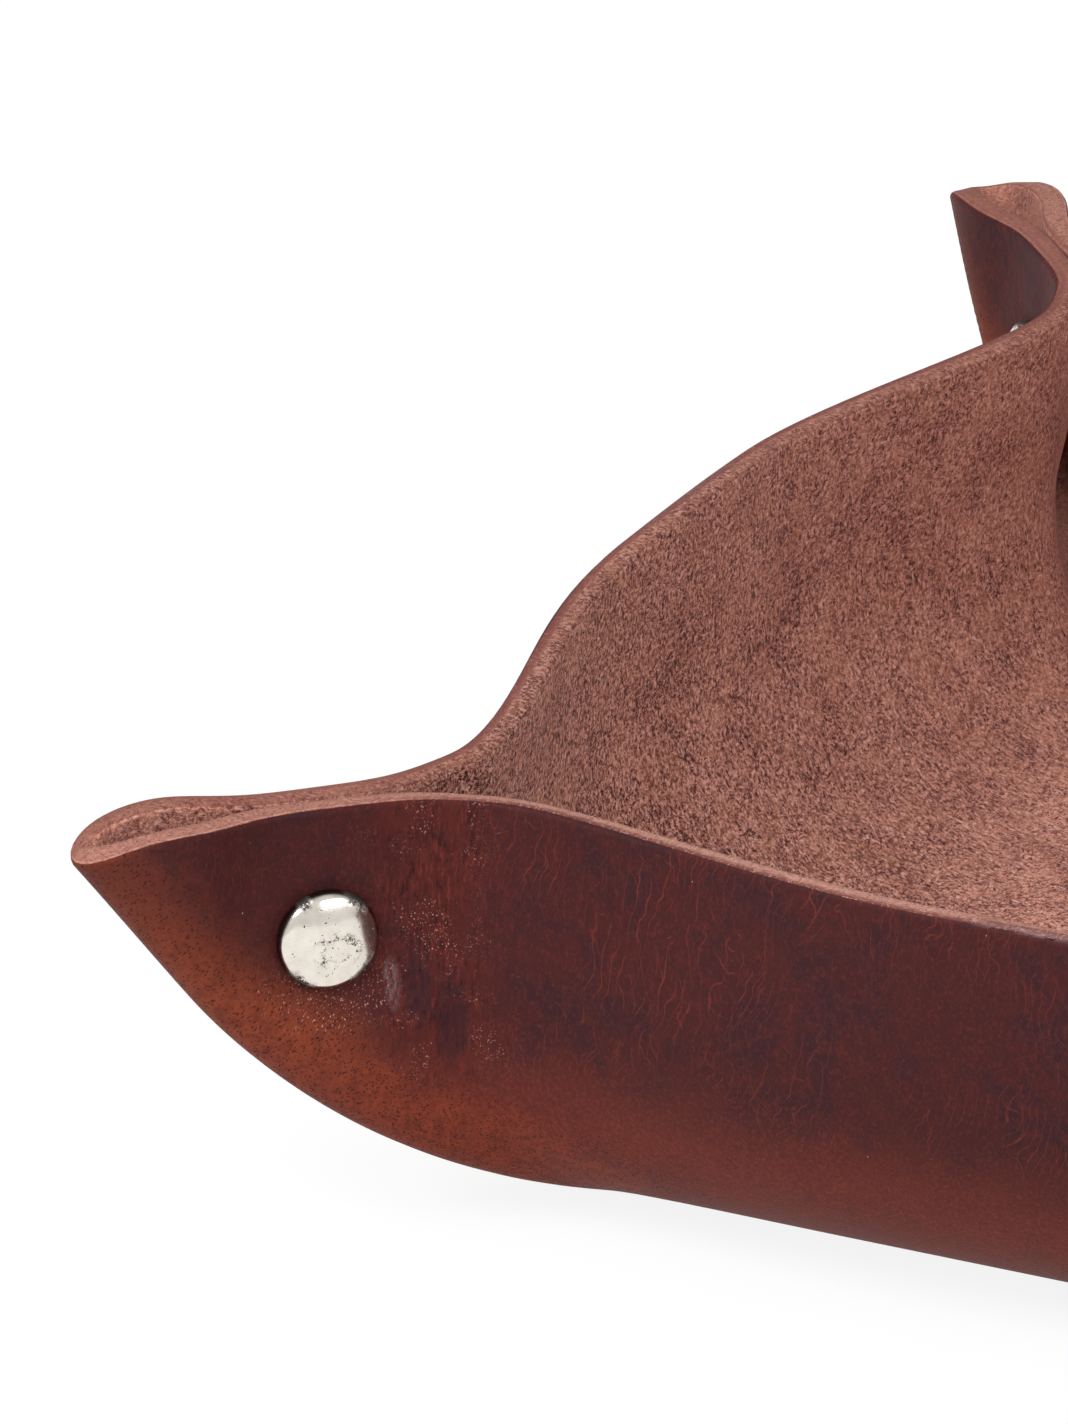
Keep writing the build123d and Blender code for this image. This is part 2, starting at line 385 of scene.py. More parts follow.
def corner_places(points):
    """Distance out along the diagonal, distance off it, and height, for every point."""
    out = (np.abs(points[:, 0]) + np.abs(points[:, 1])) / ROOT2 - FLOOR_HALF * ROOT2
    off = (np.abs(points[:, 0]) - np.abs(points[:, 1])) / ROOT2
    return out, off, points[:, 2]


out, off, high = corner_places(places)
in_ear = smooth(22.0, 28.0, out)
from_rivet = np.hypot(out - RIVET_S, high - RIVET_Z - HALF_T)
round_rivet = np.arctan2(high - RIVET_Z - HALF_T, out - RIVET_S)
press = -PRESS * (1 - smooth(4.6, 6.6, from_rivet))
press = press + RING_SWELL * np.exp(-((from_rivet - 7.2) / 1.3) ** 2)
turns = 9 * round_rivet + 1.3 * np.sin(2 * round_rivet + np.sign(off)) + np.sign(places[:, 0])
gather = GATHER * np.cos(turns) * np.exp(-((from_rivet - 7.0) / 2.2) ** 2)
for dent_out, dent_high, wide, tall, deep in DENTS:
    gather -= deep * np.exp(-((out - dent_out) / wide) ** 2 - ((high - dent_high) / tall) ** 2)
sway = np.zeros(len(places))
for _ in range(WAVES):
    direction = rng.normal(size=3)
    direction *= 2 * math.pi / rng.uniform(SHORT_WAVE, LONG_WAVE) / np.linalg.norm(direction)
    sway += WAVE_HEIGHT * np.sin(places @ direction + rng.uniform(0, ANY_TURN))
sway *= smooth(4.0, 14.0, high)
move = normals * (grain_side * in_ear * (press + gather))[:, None]
upright = np.stack([normals[:, 0], normals[:, 1], 0 * sway], axis=1) * (2 * grain_side - 1)[:, None]
write_places(hide.data, (places + move + upright * sway[:, None]) * MM)
print("pressed in by", round(float(-(grain_side * in_ear * press).min()), 2), "mm at the rivets,",
      "walls sway up to", round(float(np.abs(sway).max()), 2), "mm")
bpy.ops.object.shade_smooth()

# %% [markdown]
# The new mesh stands for the imported hide, so it replaces that node and rides on the tray's one
# body. It is one flat sheet, folded.

# %% Tie the hide to the frame
def stand_for(piece, node):
    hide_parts(node)
    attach(piece, "root")


stand_for(hide, "leather_sheet")
print(hide.name, "stands for the packed leather_sheet")

# %% [markdown]
# ## The rivet caps
#
# Each ear is held by a rivet with a domed cap on both sides. A cap is stamped from thin sheet
# and its edge is rolled over. We draw it the way it would be turned on a lathe: a small ring,
# extruded and scaled again and again along the profile, and closed at the middle. The setting
# punch leaves a faint ring on the dome. Solidify then turns that skin into sheet metal.

# %% The profile of a cap
DOME_R = 11.2
SHEET = 0.40
CAP_SIDES = 72
MARK_R, MARK_WIDE, MARK_DEEP = 1.65, 0.14, 0.025


def cap_profile():
    """Radius and height of the cap's outside, from the turned-in hem to its middle."""
    points = [(4.10, 0.10), (4.55, 0.02), (4.85, 0.05), (4.97, 0.18), (5.0, CAP_BAND)]
    centre_r, centre_z = CAP_R - CAP_ROLL, CAP_BAND
    dome_z = CAP_RISE - DOME_R
    reach = math.hypot(centre_r, centre_z - dome_z)
    meet = math.atan2(centre_z - dome_z, centre_r)
    for angle in np.linspace(0, meet, 10)[1:]:
        points.append((centre_r + CAP_ROLL * math.cos(angle),
                       centre_z + CAP_ROLL * math.sin(angle)))
    edge = points[-1][0]
    shares = (0.92, 0.82, 0.72, 0.62, 0.52, 0.46, 0.42, 0.38, 0.34, 0.26, 0.16, 0.06)
    for r in edge * np.array(shares):
        ring_mark = -MARK_DEEP * math.exp(-((r - MARK_R) / MARK_WIDE) ** 2)
        points.append((r, dome_z + math.sqrt(DOME_R ** 2 - r * r) + ring_mark))
    return points, reach


profile, reach = cap_profile()
print("cap profile:", len(profile), "rings, roll meets dome", round(reach + CAP_ROLL - DOME_R, 2))

# %% Turn the cap
bpy.ops.object.select_all(action="DESELECT")
first_r, first_z = profile[0]
bpy.ops.mesh.primitive_circle_add(vertices=CAP_SIDES, radius=first_r * MM, location=(0, 0, 0))
master_cap = bpy.context.object
bpy.ops.object.mode_set(mode="EDIT")
bpy.ops.mesh.select_all(action="SELECT")
bpy.ops.transform.translate(value=(0, 0, first_z * MM))
for (r0, z0), (r1, z1) in zip(profile, profile[1:]):
    bpy.ops.mesh.extrude_edges_move(TRANSFORM_OT_translate={"value": (0, 0, (z1 - z0) * MM)})
    bpy.ops.transform.resize(value=(r1 / r0, r1 / r0, 1), center_override=(0, 0, z1 * MM))
bpy.ops.mesh.edge_face_add()
bpy.ops.mesh.poke()
bpy.ops.mesh.select_all(action="SELECT")
bpy.ops.mesh.normals_make_consistent(inside=False)
bpy.ops.object.mode_set(mode="OBJECT")
sheet_metal = master_cap.modifiers.new("sheet", "SOLIDIFY")
sheet_metal.thickness = SHEET * MM
sheet_metal.offset = -1
bpy.ops.object.modifier_apply(modifier=sheet_metal.name)
bpy.ops.object.shade_smooth()
face_map = master_cap.data.uv_layers.new(name="face")
cap_places = read_places(master_cap.data)[loop_vertices(master_cap.data)] / MM
face_map.uv.foreach_set("vector", cap_places[:, :2].astype(np.float32).ravel())
print("master cap:", len(master_cap.data.polygons), "faces")

# %% [markdown]
# ## Eight caps in place
#
# The master is copied eight times. Each copy gets its own mesh, turned by a different angle so
# that no two show the same marks, and laid along the axis of its rivet. Only the cap that
# faces the camera is turned on purpose, so that its face map stands upright in the picture.

# %% Place the caps
from mathutils import Matrix, Vector

nickel = bpy.data.materials.new("warm nickel")
rivet_reach = FLOOR_HALF + RIVET_S / ROOT2
CORNERS = {"front_left": (-1, -1), "front_right": (1, -1), "back_left": (-1, 1), "back_right": (1, 1)}
for corner, (x_side, y_side) in CORNERS.items():
    for part, side in (("cap", 1), ("base_cap", -1)):
        axis = Vector((-x_side, y_side, 0)).normalized() * side
        turn = Vector((0, 0, 1)).rotation_difference(axis).to_matrix().to_4x4()
        spot = Vector((x_side * rivet_reach, y_side * rivet_reach, RIVET_Z + HALF_T)) + axis * SEAT
        facing = corner == "front_left" and part == "cap"
        angle = math.pi / 4 if facing else rng.uniform(0, ANY_TURN)
        own_turn = Matrix.Rotation(angle, 4, "Z")
        mesh = master_cap.data.copy()
        mesh.name = f"{corner}_{part}_dome"
        mesh.transform(Matrix.Translation(spot * MM) @ turn @ own_turn)
        dome = bpy.data.objects.new(mesh.name, mesh)
        bpy.context.collection.objects.link(dome)
        dome.data.materials.clear()
        dome.data.materials.append(nickel)
        stand_for(dome, f"{corner}_{part}")
        low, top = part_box(f"{corner}_{part}")
        own = read_places(mesh)
        gap = np.abs(np.concatenate([own.min(0) - np.array(low), own.max(0) - np.array(top)])).max()
        print(dome.name, "differs from its packed solid by at most", round(float(gap) / MM, 2), "mm")
bpy.data.objects.remove(master_cap)

# %% [markdown]
# ## Shader maths as Python
#
# A finish is mostly sums of patterns. To read like sums, they are written as expressions: a
# `Signal` wraps one socket, and `+ - *` on it add the Math nodes. Every other node comes
# from `Finish.node`, which takes the node's type, its settings and the values of its sockets.

# %% Signals and finishes
class Signal:
    """The output of one shader node, on which ordinary arithmetic works."""

    def __init__(self, finish, socket):
        self.finish, self.socket = finish, socket

    def maths(self, operation, *values):
        return self.finish.node("ShaderNodeMath", {"operation": operation}, dict(enumerate(values)))

    def __add__(self, other):
        return self.maths("ADD", self, other)

    __radd__ = __add__

    def __sub__(self, other):
        return self.maths("SUBTRACT", self, other)

    def __rsub__(self, other):
        return self.maths("SUBTRACT", other, self)

    def __mul__(self, other):
        return self.maths("MULTIPLY", self, other)

    __rmul__ = __mul__

    def __abs__(self):
        return self.maths("ABSOLUTE", self)

    def root(self):
        return self.maths("SQRT", self)

    def smallest(self, other):
        return self.maths("MINIMUM", self, other)

    def largest(self, other):
        return self.maths("MAXIMUM", self, other)

    def wrapped(self, period):
        """Distance to the nearest multiple of the period."""
        return self.maths("PINGPONG", self, period / 2)

    def step(self, low, high, to_low=0.0, to_high=1.0):
        """Rise softly from to_low to to_high while this signal goes from low to high."""
        inputs = {"Value": self, "From Min": low, "From Max": high, "To Min": to_low, "To Max": to_high}
        return self.finish.node("ShaderNodeMapRange", {"interpolation_type": "SMOOTHSTEP"}, inputs)


class Finish:
    """One material and its node tree."""

    def __init__(self, material):
        material.use_nodes = True
        self.tree = material.node_tree
        self.tree.nodes.clear()

    def node(self, kind, settings=None, inputs=None, out=0):
        made = self.tree.nodes.new(kind)
        for name, value in (settings or {}).items():
            if name == "stops":
                ramp = made.color_ramp
                while len(ramp.elements) < len(value):
                    ramp.elements.new(0.5)
                for element, (position, colour) in zip(ramp.elements, value):
                    element.position, element.color = position, colour
            else:
                setattr(made, name, value)
        for name, value in (inputs or {}).items():
            socket = made.inputs[name]
            if isinstance(value, Signal):
                self.tree.links.new(value.socket, socket)
            else:
                socket.default_value = value
        return Signal(self, made.outputs[out])

    def vector_maths(self, operation, first, second):
        settings = {"operation": operation}
        return self.node("ShaderNodeVectorMath", settings, {0: first, 1: second})

    def scaled(self, vector, factor):
        settings = {"operation": "SCALE"}
        return self.node("ShaderNodeVectorMath", settings, {0: vector, "Scale": factor})

    def places(self):
        """Object coordinates in millimetres, as a vector."""
        return self.scaled(self.node("ShaderNodeTexCoord", out="Object"), 1 / MM)

    def parts(self, vector):
        return [self.node("ShaderNodeSeparateXYZ", None, {0: vector}, out=i) for i in range(3)]

    def vector(self, x, y, z):
        return self.node("ShaderNodeCombineXYZ", None, {0: x, 1: y, 2: z})

    def noise(self, vector, size, detail=2.0, rough=0.5, warp=0.0, out=0):
        """Noise whose blotches are about `size` millimetres across."""
        inputs = {"Vector": vector, "Scale": 1 / size, "Detail": detail,
                  "Roughness": rough, "Distortion": warp}
        return self.node("ShaderNodeTexNoise", None, inputs, out)

    def cells(self, vector, size, flat=False):
        """Distance to the nearest of many scattered points, in cells of about this size."""
        settings = {"voronoi_dimensions": "2D" if flat else "3D"}
        return self.node("ShaderNodeTexVoronoi", settings, {"Vector": vector, "Scale": 1 / size})

    def map_parts(self, name):
        """The two numbers of one of the piece's own UV maps."""
        return self.parts(self.node("ShaderNodeUVMap", {"uv_map": name}))[:2]

    def ramp(self, value, bands):
        """Colours on screen at places from 0 to 1, each given as (place, red, green, blue)."""
        stops = [(at, rgb(*shade)) for at, *shade in bands]
        return self.node("ShaderNodeValToRGB", {"stops": stops}, {"Fac": value})

    def mix(self, share, first, second):
        settings = {"data_type": "RGBA", "clamp_factor": True}
        return self.node("ShaderNodeMix", settings, {0: share, 6: first, 7: second}, out=2)

    def sway(self, vector, size, amount):
        """The same places, pushed about by noise, so that straight patterns wander."""
        push = self.noise(vector, size, out=1)
        centred = self.vector_maths("SUBTRACT", push, (0.5, 0.5, 0.5))
        return self.vector_maths("ADD", vector, self.scaled(centred, amount))

    def bump(self, height, amount, under=None):
        """A bump of `amount` millimetres where the height goes from 0 to 1."""
        inputs = {"Strength": 1.0, "Distance": amount * MM, "Height": height}
        if under is not None:
            inputs["Normal"] = under
        return self.node("ShaderNodeBump", None, inputs)

    def surface(self, **sockets):
        names = {name.replace("_", " "): value for name, value in sockets.items()}
        shader = self.node("ShaderNodeBsdfPrincipled", None, names)
        self.node_output(shader)

    def node_output(self, shader):
        made = self.tree.nodes.new("ShaderNodeOutputMaterial")
        self.tree.links.new(shader.socket, made.inputs["Surface"])


def rgb(red, green, blue):
    """A colour as it looks on screen, from 0 to 255, as the linear values that Blender mixes."""
    def linear(level):
        level = level / 255
        return level / 12.92 if level <= 0.04045 else ((level + 0.055) / 1.055) ** 2.4
    return (linear(red), linear(green), linear(blue), 1.0)


print("a mid brown in linear light:", tuple(round(c, 3) for c in rgb(110, 60, 45)))

# %% [markdown]
# ## The waxed grain
#
# The outside is waxed pull-up leather. Where the hide is bent or pulled the dark wax draws
# away and the brown under it shows: along the fold of each ear, under the rivet and low on the
# wall. So the finish starts with masks that say where each of these places is, from 0 to 1,
# and three noises of different size that keep every border uneven. All of them are solid
# patterns, so they meet round every fold.

# %% Masks for the grain
from types import SimpleNamespace


def corner_signals(finish, spot):
    """Distances out along the diagonal and off it, and the height, as signals."""
    x, y, z = finish.parts(spot)
    along = (abs(x) + abs(y)) * (1 / ROOT2) - FLOOR_HALF * ROOT2
    across = (abs(x) - abs(y)) * (1 / ROOT2)
    return along, across, z


def fold_distance(along, z):
    """How far inside the outline of the fold a place lies: an arc below and a line above."""
    turn = math.radians(FOLD_ANGLE)
    cosine, sine = math.cos(turn), math.sin(turn)
    run_out, run_up = along - FOLD_R * sine, z - FOLD_R * (1 - cosine)
    below = FOLD_R - z.smallest(FOLD_R)
    to_arc = FOLD_R - (along * along + below * below).root()
    to_line = run_up * cosine - run_out * sine
    past = (run_out * cosine + run_up * sine).step(-3.0, 3.0)
    return to_arc * (1 - past) + to_line * past


def grain_masks(f, spot):
    along, _, z = corner_signals(f, spot)
    x, y, _ = f.parts(spot)
    lift = z - (RIVET_Z + HALF_T)
    rivet = ((along - RIVET_S) * (along - RIVET_S) + lift * lift).root()
    to_fold = fold_distance(along, z)
    ear = along.step(4.0, 18.0)
    blotch = f.noise(spot, 5.0, 3.0, 0.6, 0.4)
    mottle = f.noise(spot, 1.3, 3.0, 0.65)
    ragged = along + (blotch - 0.5) * 9.0 + (mottle - 0.5) * 4.0
    return SimpleNamespace(
        x=x, y=y, z=z, along=along, rivet=rivet, to_fold=to_fold, ear=ear,
        patch=f.noise(spot, 11.0, 3.0, 0.55), blotch=blotch, mottle=mottle,
        tall=f.vector(x, y, z * 0.35),
        low_wall=z.step(10.0, 25.0, 1.0, 0.0),
        fold_warm=to_fold.step(1.0, 12.5, 1.0, 0.0) * ear,
        under_rivet=rivet.step(6.0, 15.0, 1.0, 0.0) * lift.step(-9.0, -1.0, 1.0, 0.0) * ear,
        crease_side=ragged.step(22.5, 28.5) * ragged.step(31.5, 37.0, 1.0, 0.0) * z.step(12.0, 22.0))


print("the fold of an ear curves until", round(FOLD_R * math.sin(math.radians(FOLD_ANGLE)), 1),
      "mm out and is straight from there")

# %% [markdown]
# The colour of the wax goes from dark to warm with the pull of the leather, with purplish
# cloudy places where most wax is left.

# %% Colour of the wax
DARK_WAX, WARM_WAX, PURPLE_WAX = (58, 24, 24), (116, 52, 32), (42, 23, 29)
LOW_WAX, MOTTLED_WAX = (104, 36, 31), (76, 29, 25)


def wax_colour(f, at):
    warmth = at.fold_warm * at.z.step(24.0, 40.0, 0.95, 0.58) + at.under_rivet * 0.30
    uneven = (at.patch - 0.5) * 0.50 + (at.blotch - 0.5) * 0.45 + (at.mottle - 0.5) * 0.30
    low = at.low_wall * (0.46 + (at.blotch - 0.5) * 0.8)
    warmth = ((warmth + uneven).step(0.05, 1.0) + low).smallest(1.0)
    cloudy = (at.blotch + (at.patch - 0.5) * 0.8).step(0.42, 0.66)
    dusk = cloudy * (1 - warmth) * (1 - at.low_wall)
    colour = f.mix(warmth, rgb(*DARK_WAX), rgb(*WARM_WAX))
    colour = f.mix(at.low_wall * 0.40, colour, rgb(*LOW_WAX))
    colour = f.mix(dusk * 0.60, colour, rgb(*PURPLE_WAX))
    return f.mix(at.mottle.step(0.44, 0.70) * 0.35, colour, rgb(*MOTTLED_WAX))


print("wax from", DARK_WAX, "to", WARM_WAX, "where it is pulled")

# %% [markdown]
# Fine lighter veins run up the walls. They are two sets of upright lines at even steps round
# the tray, made to wander by noise, and broken by a slower noise so that they come and go.
# Between them the grain has small light and dark pebbles.

# %% Veins and pebbles
VEIN_STEPS = (0.95, 1.30)


def vein_lines(f, spot, at):
    wander = (f.noise(spot, 7.0, 2.0) - 0.5) * 5.0
    jitter = (f.noise(f.vector(at.x, at.y, at.z * 0.5), 0.9, 2.0, 0.5) - 0.5) * 0.50
    round_wall = abs(at.x) + abs(at.y) + wander + jitter
    one_set = (round_wall + at.z * 0.30).wrapped(VEIN_STEPS[0])
    other_set = (round_wall * 0.9 - at.z * 0.12 + wander * 0.7).wrapped(VEIN_STEPS[1])
    one_broken = f.noise(at.tall, 2.2, 2.0).step(0.38, 0.62)
    other_broken = f.noise(at.tall, 1.8, 2.0, 0.5, 0.5).step(0.42, 0.66)
    lines = one_set.step(0.01, 0.075, 1.0, 0.0) * one_broken
    lines = lines + other_set.step(0.01, 0.075, 1.0, 0.0) * other_broken
    some_places = f.noise(spot, 14.0, 1.0).step(0.30, 0.62)
    return lines.smallest(1.0) * at.to_fold.step(5.0, 13.0) * at.z.step(9.0, 19.0) * some_places


def pebbled(f, at, colour):
    pebble = f.noise(f.vector(at.x, at.y, at.z * 0.7), 0.34, 3.0, 0.7)
    light = pebble.step(0.50, 0.66) * (0.11 + at.low_wall * 0.22)
    dark = pebble.step(0.36, 0.50, 1.0, 0.0) * (0.16 + at.low_wall * 0.16)
    colour = f.mix(light, colour, rgb(122, 60, 50))
    return f.mix(dark, colour, rgb(50, 22, 22))


print("two sets of veins,", VEIN_STEPS, "mm apart")

# %% [markdown]
# Pores dot the warm places, and the crease and the leather under the rivet have pale specks
# that are painted glints. Both are small round cells on the flat hide, read from its `flat` map,
# so that they keep their size and spacing round every fold.

# %% Pores and specks
PORE_CELL = 0.40
COARSE_CELL, FINE_CELL = 0.62, 0.33


def flat_places(f):
    flat_x, flat_y = f.map_parts("flat")
    return f.vector(flat_x * (1 / MM), flat_y * (1 / MM), 0.0)


def pore_dots(f, spot, flat, at):
    cells = f.cells(f.sway(flat, 0.9, 0.25), PORE_CELL, flat=True).step(0.08, 0.32, 1.0, 0.0)
    place = (at.fold_warm * 1.2 + at.under_rivet * 0.6 + at.low_wall * 0.50).step(0.20, 0.90)
    return cells * place * f.noise(spot, 0.8, 1.0).step(0.34, 0.60)


def glint_specks(f, spot, flat, at):
    # Pale specks in the crease and under the rivet: painted glints.
    coarse = f.cells(f.sway(flat, 0.5, 0.3), COARSE_CELL, flat=True).step(0.05, 0.18, 1.0, 0.0)
    coarse = coarse * f.noise(flat, 0.9, 1.0).step(0.50, 0.57)
    fine_dots = f.cells(f.sway(flat, 0.3, 0.2), FINE_CELL, flat=True).step(0.05, 0.22, 1.0, 0.0)
    fine_dots = fine_dots * f.noise(flat, 0.5, 1.0).step(0.48, 0.56) * 0.8
    under_rivet_glints = at.under_rivet * at.rivet.step(6.5, 10.5, 1.8, 0.0)
    glint_places = at.crease_side * f.noise(spot, 4.0, 2.0).step(0.46, 0.60) + under_rivet_glints
    return (coarse + fine_dots) * glint_places.smallest(1.0)


print("a pore every", PORE_CELL, "mm, specks every", COARSE_CELL, "and", FINE_CELL, "mm")

# %% [markdown]
# The crease beside the rivet is redder and full of fine upright strands, light and dark. Two
# dents beside the rivet are painted darker, as painted shade in the hollows, and one grey scuff
# lies where the hide is pushed in. Tiny pale dots are painted glints, and the border of the wall
# at the cut is worn grey.

# %% Crease, dents and wear
# Places of the two dents that get painted shade: along, height and width.
DENT_SHADE_SPOTS = ((31.4, 26.5, 1.3), (28.6, 23.0, 1.5))
SCUFF_S, SCUFF_Z = 33.6, 26.5


def creased(f, at, crease, strand, colour):
    colour = f.mix(at.crease_side * 0.40, colour, rgb(80, 28, 22))
    colour = f.mix(crease * strand.step(0.36, 0.46, 1.0, 0.0) * 0.50, colour, rgb(112, 46, 38))
    return f.mix(crease * strand.step(0.52, 0.62) * 0.80, colour, rgb(34, 16, 18))


def paint_dent_shade_and_scuff(f, at, strand, colour):
    for dent_s, dent_z, wide in DENT_SHADE_SPOTS:
        aside, above = (at.along - dent_s) * (1 / wide), (at.z - dent_z) * 0.22
        dent = aside * aside + above * above + (at.mottle - 0.5) * 1.6
        # Painted shade: each dent is darkened to a purplish brown.
        colour = f.mix(dent.step(0.2, 1.5, 1.0, 0.0) * 0.55, colour, rgb(40, 22, 28))
    aside, above = at.along - SCUFF_S, at.z - SCUFF_Z
    scuff = aside * aside * 1.6 + above * above * 0.16 + (at.blotch - 0.5) * 2.0
    scuff = scuff.step(0.15, 1.5, 1.0, 0.0) * strand.step(0.40, 0.60)
    return f.mix(scuff * 0.50, colour, rgb(118, 94, 97))


def paint_glints_and_worn_border(f, spot, at, colour):
    # Tiny pale dots scattered over the grain: painted glints.
    glint_dots = f.cells(spot, 3.6).step(0.012, 0.024, 1.0, 0.0)
    colour = f.mix(glint_dots * 0.8, colour, rgb(190, 150, 138))
    border = f.map_parts("depth")[0].step(0.90, 0.995, 1.0, 0.0)
    border = border * at.along.step(-12.0, -6.0, 1.0, 0.0)
    return f.mix(border * f.noise(spot, 1.1, 2.0).step(0.40, 0.60), colour, rgb(104, 78, 80))


print(len(DENT_SHADE_SPOTS), "dark dents and a scuff beside each rivet")

# %% [markdown]
# Now the layers are put together, from the wax up, and the same masks raise and lower the
# surface: veins stand up a little, pores sink, and the crease and the leather round the rivet
# are wrinkled.

# %% The grain finish
def grain_finish(material):
    f = Finish(material)
    spot = f.places()
    flat = flat_places(f)
    at = grain_masks(f, spot)
    veins = vein_lines(f, spot, at)
    pores = pore_dots(f, spot, flat, at)
    strand = f.noise(f.vector(at.x, at.y, at.z * 0.22), 0.38, 4.0, 0.70)
    crease = at.crease_side * f.noise(spot, 3.0, 2.0).step(0.30, 0.60)

    colour = pebbled(f, at, wax_colour(f, at))
    colour = f.mix(veins * 0.46, colour, rgb(116, 50, 38))
    colour = f.mix(at.fold_warm * at.mottle.step(0.42, 0.62) * 0.40, colour, rgb(84, 36, 26))
    colour = f.mix(pores * 0.78, colour, rgb(42, 19, 17))
    colour = creased(f, at, crease, strand, colour)
    # Painted glints: pale specks in the crease and under the rivet.
    colour = f.mix(glint_specks(f, spot, flat, at) * 0.65, colour, rgb(190, 140, 128))
    colour = paint_glints_and_worn_border(f, spot, at, paint_dent_shade_and_scuff(f, at, strand, colour))

    relief = f.bump(veins * 0.3 - pores * 1.2 + f.noise(at.tall, 0.42, 2.0) * 0.30, 0.05)
    wrinkles = f.noise(at.tall, 1.3, 3.0, 0.6) * at.crease_side * 1.5
    relief = f.bump(wrinkles + strand * crease, 0.20, relief)
    gathers = f.noise(spot, 0.8, 2.0, 0.6) * at.rivet.step(5.0, 10.5, 1.0, 0.0) * at.ear
    relief = f.bump(gathers, 0.14, relief)
    rough = 0.54 + at.blotch * 0.10 + veins * 0.08 + pores * 0.15 - crease * 0.08
    f.surface(Base_Color=colour, Roughness=rough, Normal=relief, Specular_IOR_Level=0.08)


grain_finish(bpy.data.materials["waxed grain"])
print("waxed grain:", len(bpy.data.materials["waxed grain"].node_tree.nodes), "nodes")

# %% [markdown]
# ## The suede flesh
#
# The inside is the raw flesh side, brushed to suede. Its nap is short fibres that lie in all
# directions, light on top and dark in the gaps between them. Noise that is stretched along
# one axis looks like fibres, so three of them with different axes are pushed about and
# blended by a slower noise, which turns the nap from place to place. The nap is most shaggy
# near the front and calm inside the tips of the ears.

# %% Suede
SUEDE_BANDS = ((0.22, 54, 28, 29), (0.36, 102, 60, 55), (0.48, 148, 98, 87),
               (0.60, 178, 124, 109), (0.78, 208, 162, 145))


def nap(f, spot, width, length):
    """Fibres of about this width and length in millimetres, from 0 in a gap to 1 on a fibre."""
    loose = f.sway(spot, 1.1, 1.2)
    x, y, z = f.parts(loose)
    squeeze = width / length
    one = f.noise(f.vector(x * squeeze, y, z), width, 2.0, 0.6)
    two = f.noise(f.vector(x, y * squeeze, z), width, 2.0, 0.6)
    three = f.noise(f.vector(x, y, z * squeeze), width, 2.0, 0.6)
    turn = f.noise(spot, 2.0, 1.0)
    first = turn.step(0.42, 0.50)
    second = turn.step(0.52, 0.60)
    return one * (1 - first) + two * (first - second) + three * second


def nap_colour(f, spot):
    """Colour and height of brushed suede."""
    fibres = nap(f, spot, 0.24, 0.95)
    fine_fibres = nap(f, spot, 0.13, 0.5)
    gaps = f.noise(f.sway(spot, 0.7, 0.5), 0.50, 2.0, 0.6)
    patch = f.noise(spot, 7.0, 2.0)
    along, _, _ = corner_signals(f, spot)
    shag = f.parts(spot)[1].step(-90.0, 50.0, 1.85, 0.85) * along.step(20.0, 32.0, 1.0, 0.40)
    tone = 0.5 + ((fibres - 0.5) * 1.1 + (fine_fibres - 0.5) * 0.6 + (gaps - 0.5) * 0.9) * shag
    colour = f.ramp(tone + (patch - 0.5) * 0.25, SUEDE_BANDS)
    ochre = f.noise(spot, 3.5, 2.0).step(0.45, 0.65)
    colour = f.mix(ochre * 0.20, colour, rgb(162, 106, 80))
    return colour, fibres * 0.6 + gaps * 0.5 + fine_fibres * 0.3


def suede_finish(material):
    f = Finish(material)
    colour, height = nap_colour(f, f.places())
    f.surface(Base_Color=colour, Roughness=0.95, Normal=f.bump(height, 0.22),
              Specular_IOR_Level=0.12,
              Sheen_Weight=0.15, Sheen_Roughness=0.5, Sheen_Tint=rgb(230, 190, 180))


suede_finish(bpy.data.materials["suede flesh"])
print("suede flesh:", len(bpy.data.materials["suede flesh"].node_tree.nodes), "nodes")

# %% [markdown]
# ## The cut edge
#
# A knife leaves the edge pale and slightly hairy. The `depth` map says how far through the
# thickness a point lies, from flesh to grain, and a little noise keeps the bands from being
# ruled. There are three sets of bands: a greyish rubbed lip along the middle of each wall, a
# rubbed edge towards the corners, and a cleaner one with a bright line at the tips of the
# ears. On the side walls, suede hairs hang over the flesh side of the cut.

# %% Cut edge
LIPPED = ((0.00, 126, 82, 73), (0.15, 150, 102, 91), (0.40, 152, 104, 93),
          (0.50, 108, 66, 58), (0.54, 108, 67, 61), (0.60, 112, 79, 77),
          (0.82, 114, 82, 82), (0.90, 92, 56, 54), (0.96, 62, 30, 30))
RUBBED = ((0.00, 120, 78, 70), (0.12, 146, 100, 89), (0.35, 162, 118, 105),
          (0.54, 158, 112, 100), (0.68, 126, 80, 71), (0.82, 104, 57, 51),
          (0.90, 80, 39, 36), (0.97, 60, 27, 26))
CLEAN = ((0.00, 124, 80, 71), (0.12, 148, 102, 90), (0.50, 158, 110, 97),
         (0.76, 150, 100, 88), (0.84, 184, 134, 118), (0.90, 104, 58, 52),
         (0.96, 68, 31, 30))


